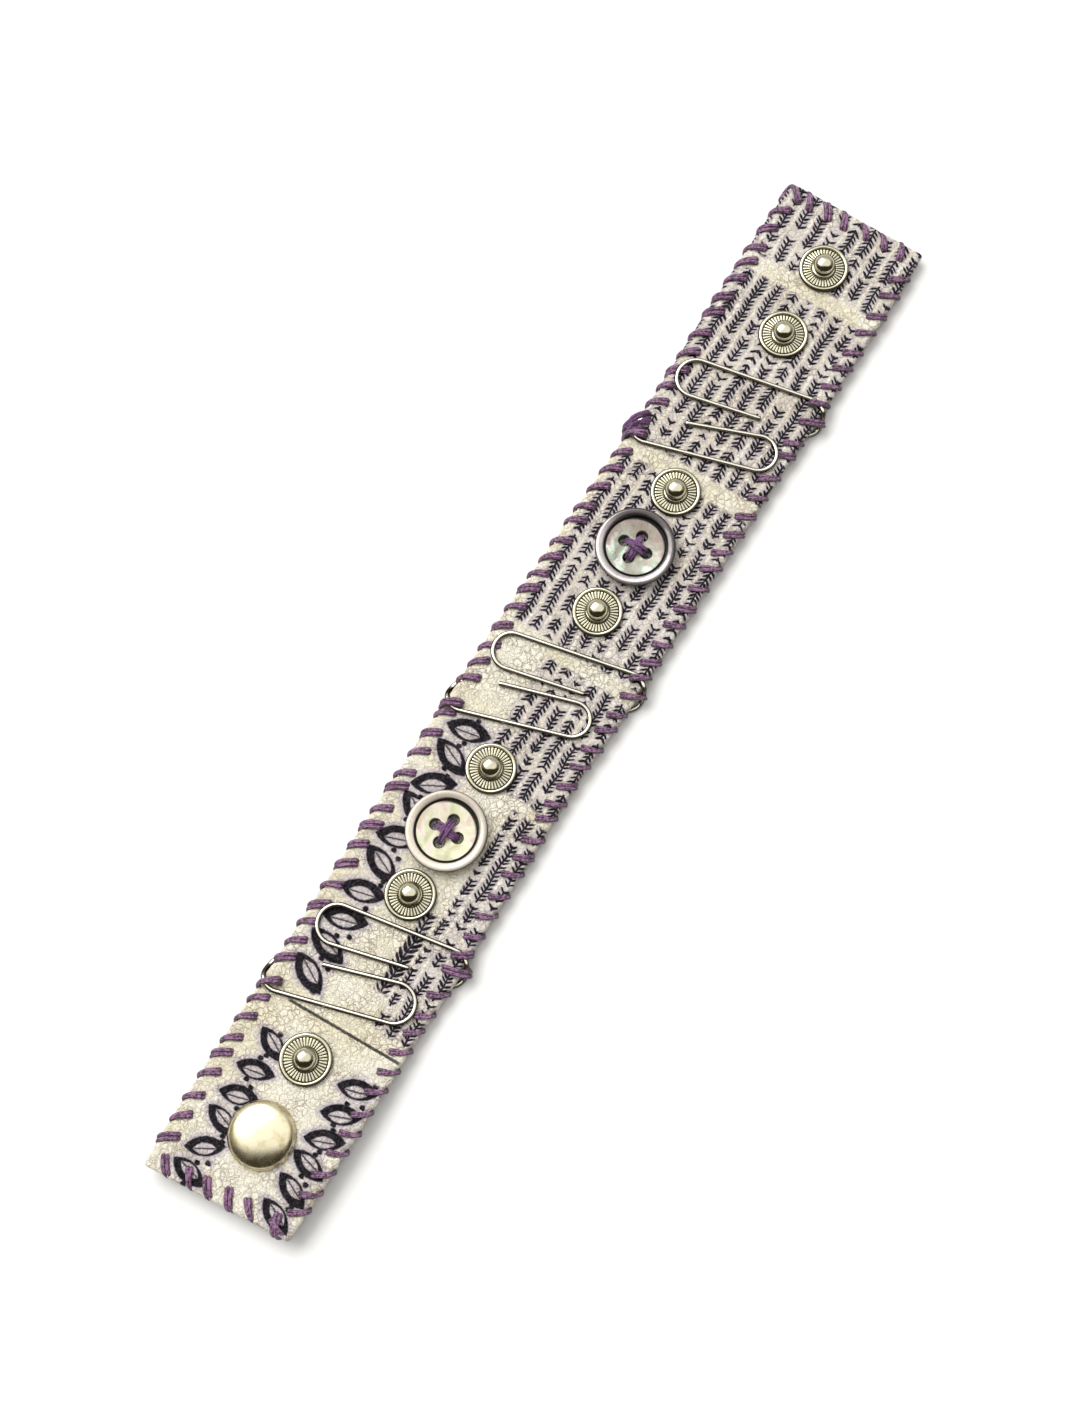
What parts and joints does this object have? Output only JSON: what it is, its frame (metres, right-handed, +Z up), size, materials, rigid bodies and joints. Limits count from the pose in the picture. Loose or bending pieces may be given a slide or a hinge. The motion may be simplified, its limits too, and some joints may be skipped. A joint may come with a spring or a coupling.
{
  "type": "leather snap bracelet",
  "caption": "Leather strap bracelet lying open, with whip-stitched edges, a domed snap, ribbed press studs, bent wire clips hooked over its edges, and sewn shell buttons.",
  "frame": {"origin": "middle of the bracelet in plan, on the surface that it lies on", "axes": "+X along the strap from the capped end to the end with the closing studs, +Z up out of the strap's face"},
  "size_m": [0.224, 0.0336, 0.0081],
  "materials": {
    "leather": "pale grained leather",
    "satin_nickel": "satin",
    "nickel": "polished, slightly warm",
    "steel_wire": "drawn wire",
    "grey_shell": "polished shell",
    "pale_shell": "polished shell",
    "thread": "waxed purple thread"
  },
  "bodies": {
    "root": {"strap": "leather", "snap_cap": "satin_nickel", "snap_socket": "nickel", "button_grey": "grey_shell", "button_pale": "pale_shell", "paper_clip_1": "steel_wire", "paper_clip_2": "steel_wire", "paper_clip_3": "steel_wire", "press_stud_1": "nickel", "press_stud_2": "nickel", "press_stud_3": "nickel", "press_stud_4": "nickel", "press_stud_5": "nickel", "press_stud_6": "nickel", "press_stud_7": "nickel", "stud_back_1": "nickel", "stud_back_2": "nickel", "stud_back_3": "nickel", "stud_back_4": "nickel", "stud_back_5": "nickel", "stud_back_6": "nickel", "stud_back_7": "nickel"}
  },
  "joints": []
}
